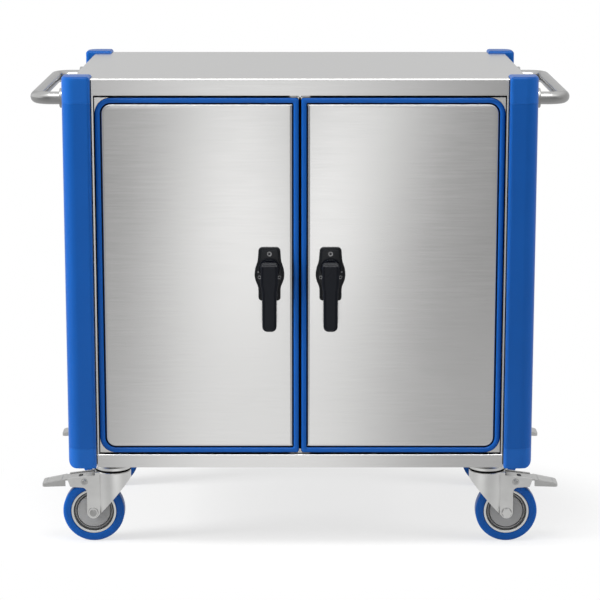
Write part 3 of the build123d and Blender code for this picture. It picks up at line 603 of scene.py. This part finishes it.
def pushHandle(bm):
    # round tube: out, round the bend, along, round the bend and back
    low, high = cornersOf("handle_right")
    start, reach, z = low[0], high[0], (low[2] + high[2]) / 2
    half = high[1] - tube["radius"]
    straight = reach - tube["radius"] - tube["bend"]
    run = half - tube["bend"]
    facing = Matrix.Translation((start, -half, z)) @ Matrix.Rotation(math.pi / 2, 4, "Y")
    circle = bmesh.ops.create_circle(bm, cap_ends=False, radius=tube["radius"], segments=tube["segments"],
                                     matrix=facing)
    ring = pullRing(bm, circle["verts"], (straight - start, 0, 0))
    ring = turnRing(bm, ring, (straight, -run, z))
    ring = pullRing(bm, ring, (0, 2 * run, 0))
    ring = turnRing(bm, ring, (straight, run, z))
    pullRing(bm, ring, (start - straight, 0, 0))
    closeHoles(bm)


bothSides(pushHandle, "pushHandle", "handleSteelShaded", "carcass", "handle")
print("handles made")


lip = {
    "low": 180.0, "high": 948.0, "width": 1.7, "rounding": 0.6, "segments": 2,
    "steps": [(0.0, 0.9), (0.3, 0.4)],
}


def bumperLip(bm, edge, face, turn):
    # upright strip that ends at the bumper's edge, then turned about the middle of the cart
    before = set(bm.verts)
    strip = rectangle(edge - lip["width"], lip["low"], edge, lip["high"])
    front = outlineFace(bm, strip, -face, [lip["rounding"]] * 4, lip["segments"])
    stepFace(bm, front, lip["steps"])
    made = [vert for vert in bm.verts if vert not in before]
    bmesh.ops.rotate(bm, cent=(0, 0, 0), matrix=Matrix.Rotation(math.radians(turn), 3, "Z"), verts=made)


def bumperSeals():
    # thin black lips where the bumpers meet the steel, two at each corner
    bm = bmesh.new()
    bumperLow, bumperHigh = cornersOf("bumper_front_right")
    topLow, topHigh = cornersOf("worktop")
    across, along = (bumperLow[0], -topLow[1]), (-bumperHigh[1], topHigh[0])
    for (edge, face), turn in ((across, 0), (along, 90), (across, 180), (along, -90)):
        bumperLip(bm, edge, face, turn)
    copied = bmesh.ops.duplicate(bm, geom=allParts(bm))["geom"]
    bmesh.ops.scale(bm, vec=(-1, 1, 1), verts=vertsAmong(copied))
    closeHoles(bm)
    finishPiece(bm, "bumperSeals", "blackSeal", "carcass")


bumperSeals()
print("bumper seals made")


# half sections from the wheel's middle, as radius and distance from its middle plane
wheel = {
    "disc": [(6.2, 21.0), (12.2, 21.0), (13.0, 20.2), (13.2, 13.1), (13.8, 12.6), (31.6, 12.5),
             (32.8, 12.1), (33.4, 11.2), (33.8, 8.5)],
    # the well's dark finish is painted shade in the recess
    "well": [(33.0, 7.2), (41.2, 7.2)],
    "ridge": [(35.2, 6.5), (35.3, 8.4), (35.9, 9.4), (37.6, 9.4), (38.3, 8.4), (38.4, 6.5)],
    "rim": [(40.6, 6.0), (40.8, 13.6), (41.4, 14.7), (42.4, 15.2), (44.4, 15.2), (45.5, 14.8), (46.0, 13.8)],
    "tyre": [(46.0, 13.0), (46.4, 14.8), (47.2, 15.8), (48.4, 16.0), (57.2, 16.0), (59.2, 15.6),
             (60.9, 14.6), (62.0, 13.0), (62.5, 10.8)],
    "turns": 72, "sharpFrom": 28.0,
}
swivelTrail = 40.0


def casterPlace(corner):
    # middle of the wheel, the swivel line beside it, and the outward way
    middle = middleOf(f"caster_tyre_{corner}")
    outward = math.copysign(1, middle[0])
    return middle, (middle[0] - outward * swivelTrail, middle[1]), outward


def wheelPieces(corner):
    middle = middleOf(f"caster_tyre_{corner}")
    for part, finishName, slotName, stands in (
        ("disc", "greyWheel", "grey_wheel", [f"caster_wheel_{corner}"]),
        ("well", "shadedWheelWell", "grey_wheel", []),
        ("ridge", "greyWheel", "grey_wheel", []),
        ("rim", "rimSteel", "zinc_steel", []),
        ("tyre", "blueTyre", "blue_tyre", [f"caster_tyre_{corner}"]),
    ):
        bm = bmesh.new()
        lathe(bm, mirroredProfile(wheel[part]), middle, wheel["turns"])
        finishPiece(bm, f"caster{part.capitalize()}_{corner}", finishName, f"wheel_{corner}",
                    stands, wheel["sharpFrom"])


# start and tip are distance from the swivel line and height above the floor
tread = {
    "start": (98.5, 131.0), "tip": (141.5, 122.3), "half": 17.5, "margin": 5.0, "rounding": 3.0,
    "segments": 4, "lift": 0.02, "steps": [(0.0, 0.35), (0.5, 0.3), (1.6, 0.0), (0.5, -0.35)],
}


def pedalTread(corner):
    # pressed frame on the sloping top of the brake pedal
    bm = bmesh.new()
    _, swivel, outward = casterPlace(corner)
    (nearX, nearZ), (farX, farZ) = tread["start"], tread["tip"]
    run = math.hypot(farX - nearX, farZ - nearZ)
    outline = rectangle(tread["margin"], -tread["half"], run - tread["margin"], tread["half"])
    face = outlineFace(bm, outline, 0.0, [tread["rounding"]] * 4, tread["segments"])
    stepFace(bm, face, tread["steps"])
    closeHoles(bm)
    lay = Matrix.Rotation(-math.pi / 2, 4, "X")
    slope = Matrix.Rotation(math.atan2(nearZ - farZ, farX - nearX), 4, "Y")
    lift = Matrix.Translation((nearX, 0, nearZ + tread["lift"]))
    turn = Matrix.Rotation(0.0 if outward > 0 else math.pi, 4, "Z")
    place = Matrix.Translation((*swivel, 0)) @ turn @ lift @ slope @ lay
    bmesh.ops.transform(bm, matrix=place, verts=bm.verts)
    finishPiece(bm, f"pedalTread_{corner}", "pedalSteel", f"pedal_{corner}")


# heads on the front and back cheeks: bolt with a dished middle, and domed rivet of the brake; their darker
# plating is painted shade that sets them and the low ring round each off from the cheeks
heads = {
    "cheek": 24.5, "turns": 32, "rivetReach": 57.3, "rivetZ": 127.0,
    "bolt": [(0.0, 4.9), (3.0, 4.8), (5.4, 4.5), (7.4, 4.0), (8.8, 3.2), (9.5, 2.2), (9.6, 0.9), (10.5, 0.5),
             (10.6, -0.1), (0.0, -0.1)],
    "rivet": [(0.0, 2.9), (2.0, 2.8), (3.9, 2.3), (5.2, 1.6), (5.9, 0.8), (6.0, 0.3), (6.9, 0.25),
              (7.0, -0.1), (0.0, -0.1)],
}


def forkHeads(corner):
    bm = bmesh.new()
    middle, swivel, outward = casterPlace(corner)
    rivet = (swivel[0] + outward * heads["rivetReach"], swivel[1], heads["rivetZ"])
    for (x, y, z), profile in ((middle, heads["bolt"]), (rivet, heads["rivet"])):
        for way in (-1, 1):
            facing = [(radius, way * along) for radius, along in profile]
            lathe(bm, facing, (x, y + way * heads["cheek"], z), heads["turns"])
    finishPiece(bm, f"forkHeads_{corner}", "shadedHeadSteel", f"fork_{corner}")


plateBolt = {
    "alongX": 37.0, "alongY": 31.0, "topZ": 169.0, "turns": 12,
    "profile": [(0.0, -5.2), (4.2, -5.2), (5.0, -4.4), (6.4, -4.1), (6.6, -1.2), (8.6, -1.0), (8.8, 0.0),
                (0.0, 0.0)],
}


def plateBolts():
    # four under each caster plate
    bm = bmesh.new()
    for corner in corners:
        x, y = casterPlace(corner)[1]
        for dx in (-plateBolt["alongX"], plateBolt["alongX"]):
            for dy in (-plateBolt["alongY"], plateBolt["alongY"]):
                spot = (x + dx, y + dy, plateBolt["topZ"])
                lathe(bm, plateBolt["profile"], spot, plateBolt["turns"], (0, 0, 1))
    finishPiece(bm, "plateBolts", "zincSteel", "carcass")


for corner in corners:
    wheelPieces(corner)
    pedalTread(corner)
    forkHeads(corner)
plateBolts()
print("casters made")


camera = {"place": (0.0, -4.702, 1.410), "pitch": 11.45, "lens": 137.4, "sensor": 36, "clip": (0.1, 200)}


def addCamera():
    data = bpy.data.cameras.new("studioCamera")
    data.lens = camera["lens"]
    data.sensor_width = camera["sensor"]
    data.clip_start, data.clip_end = camera["clip"]
    eye = bpy.data.objects.new("studioCamera", data)
    eye.location = camera["place"]
    eye.rotation_euler = (math.radians(90 - camera["pitch"]), 0, 0)
    bpy.context.scene.collection.objects.link(eye)
    bpy.context.scene.camera = eye


# mirrored lamps show in reflections
lamps = {
    "keyLamp": {"place": (-4.1, -1.05, 1.7), "aim": (0.0, 0.0, 0.5), "size": (1.2, 2.8), "watts": 265.0,
                "mirrored": False},
    "fillLamp": {"place": (3.9, -0.95, 1.7), "aim": (0.0, 0.0, 0.5), "size": (1.4, 2.2), "watts": 85.0,
                 "mirrored": False},
    "topLamp": {"place": (0.0, -1.15, 3.2), "aim": (0.0, -0.2, 0.5), "size": (2.2, 0.7), "watts": 40.0,
                "mirrored": True},
}


def addLamp(name, look):
    data = bpy.data.lights.new(name, "AREA")
    data.shape = "RECTANGLE"
    data.size, data.size_y = look["size"]
    data.energy = look["watts"]
    lamp = bpy.data.objects.new(name, data)
    lamp.location = look["place"]
    lamp.rotation_euler = (Vector(look["aim"]) - lamp.location).to_track_quat("-Z", "Y").to_euler()
    lamp.visible_glossy = look["mirrored"]
    bpy.context.scene.collection.objects.link(lamp)


# what upright faces mirror from in front: a bright band in the middle, darker to both sides
band = {
    # levels of the dark sides and of the bright middle, each near the cart and far off
    "side": (0.60, 0.42), "core": (1.15, 1.75),
    # the core's place and its half width, where it starts to fade and where it ends
    "middle": -0.018, "fadeFrom": 0.018, "fadeTo": 0.091,
}


def frontBand(g, ratio, away):
    core = g.spread(abs(ratio - band["middle"]), band["fadeFrom"], band["fadeTo"], 1.0, 0.0)
    return toward(toward(*band["side"], away), toward(*band["core"], away), core)


white = (1, 1, 1, 1)
# light levels by direction, each with the span over which it comes in
sky = {
    "matt": 0.32, "side": 0.75, "left": 1.4, "leftSpan": (0.45, 0.8), "frontSpan": (0.35, 0.85),
    "overhead": 1.35, "overheadSpan": (0.3, 0.85), "brow": 2.6, "browSpan": (0.1, 0.6), "nearZero": 0.001,
}


def addWorld():
    world = bpy.data.worlds.new("studioWorld")
    bpy.context.scene.world = world
    world.use_nodes = True
    g = Graph(world.node_tree)
    across, ahead, up = g.axes(g.add("ShaderNodeTexCoord", output="Generated"))
    ahead = 0 - ahead  # the front of the cart looks to -Y
    glossy = toward(sky["side"], sky["left"], g.spread(0 - across, *sky["leftSpan"]))
    front = frontBand(g, across / (ahead + sky["nearZero"]), 1.0)
    glossy = toward(glossy, front, g.spread(ahead, *sky["frontSpan"]))
    overhead = toward(sky["overhead"], sky["brow"], g.spread(ahead, *sky["browSpan"]))
    glossy = toward(glossy, overhead, g.spread(up, *sky["overheadSpan"]))
    level = toward(sky["matt"], glossy, g.rayIs("Glossy"))
    level = toward(level, 1, g.rayIs("Camera"))
    surface = g.add("ShaderNodeBackground", inputs={"Color": white, "Strength": level})
    g.add("ShaderNodeOutputWorld", inputs={"Surface": surface})


floorLook = {
    "width": 60.0, "colour": (0.93, 0.93, 0.93, 1),
    # an oval round the cart keeps its shadow, and it fades to plain white between two shares of that oval
    "oval": (0.62, 0.42), "fadeShares": (0.85, 1.3), "glow": 0.66,
    # how far ahead the mirrored band begins and turns from near to far, and the distance it fans out from
    "aheadSpan": (0.3, 0.7), "bandSpan": (0.9, 5.0), "bandFrom": 4.14,
}


def floorFinish():
    # pale floor that keeps the shadow near the cart and is plain white further out; to glossy rays it glows
    # with a painted pool of light, bright in the middle ahead of the cart and darker to both sides
    material = bpy.data.materials.new("paleFloor")
    material.use_nodes = True
    g = Graph(material.node_tree)
    x, y = g.axes()[:2]
    wide, deep = floorLook["oval"]
    far = g.spread((x * x / wide ** 2 + y * y / deep ** 2) ** 0.5, *floorLook["fadeShares"])
    isCamera, isGlossy = g.rayIs("Camera"), g.rayIs("Glossy")
    front = frontBand(g, x / (floorLook["bandFrom"] - y), g.spread(0 - y, *floorLook["bandSpan"]))
    shown = toward(sky["side"], front, g.spread(0 - y, *floorLook["aheadSpan"]))
    glowing = isCamera + isGlossy * shown
    glow = g.add("ShaderNodeEmission", inputs={"Color": white, "Strength": glowing})
    matt = g.add("ShaderNodeBsdfDiffuse", inputs={"Color": floorLook["colour"]})
    share = isGlossy + isCamera * toward(floorLook["glow"], 1, far)
    surface = g.add("ShaderNodeMixShader", inputs={0: share, 1: matt, 2: glow})
    g.add("ShaderNodeOutputMaterial", inputs={"Surface": surface})
    return material


def addFloor():
    bm = bmesh.new()
    bmesh.ops.create_grid(bm, x_segments=1, y_segments=1, size=floorLook["width"] / 2)
    mesh = bpy.data.meshes.new("floor")
    bm.to_mesh(mesh)
    bm.free()
    floor = bpy.data.objects.new("floor", mesh)
    mesh.materials.append(floorFinish())
    bpy.context.scene.collection.objects.link(floor)


addCamera()
addWorld()
addFloor()
for name, look in lamps.items():
    addLamp(name, look)
bpy.context.scene.view_settings.view_transform = "Standard"
print("studio ready")
